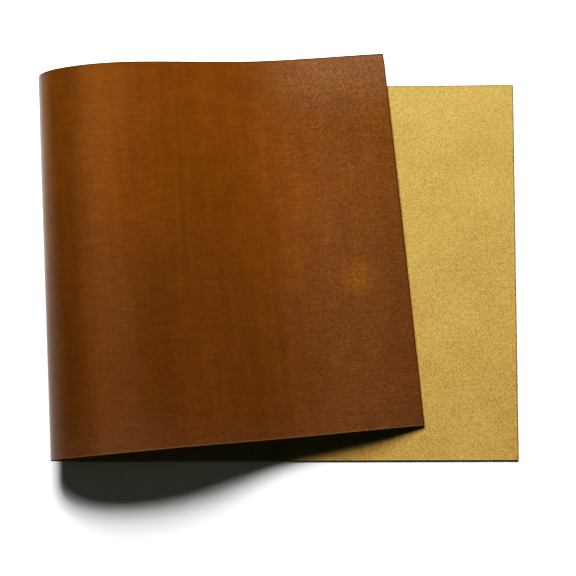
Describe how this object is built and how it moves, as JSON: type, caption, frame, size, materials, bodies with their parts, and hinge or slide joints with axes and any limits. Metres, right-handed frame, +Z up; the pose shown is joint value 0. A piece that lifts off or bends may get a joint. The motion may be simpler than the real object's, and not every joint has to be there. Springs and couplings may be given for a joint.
{
  "type": "leather panel",
  "caption": "Rectangular panel of smooth brown leather, lying flat at one end and curled over on itself, with its free end resting askew on the suede side.",
  "frame": {"origin": "middle of the underside of the panel's box, on the surface that the panel lies on", "axes": "+X from the curl to the two cut ends, +Y across the panel, +Z up from the surface it lies on"},
  "size_m": [0.3752, 0.326, 0.0791],
  "materials": {
    "leather": "smooth burnished grain side in amber brown, golden suede flesh side"
  },
  "bodies": {
    "root": {"panel": "leather"}
  },
  "joints": []
}
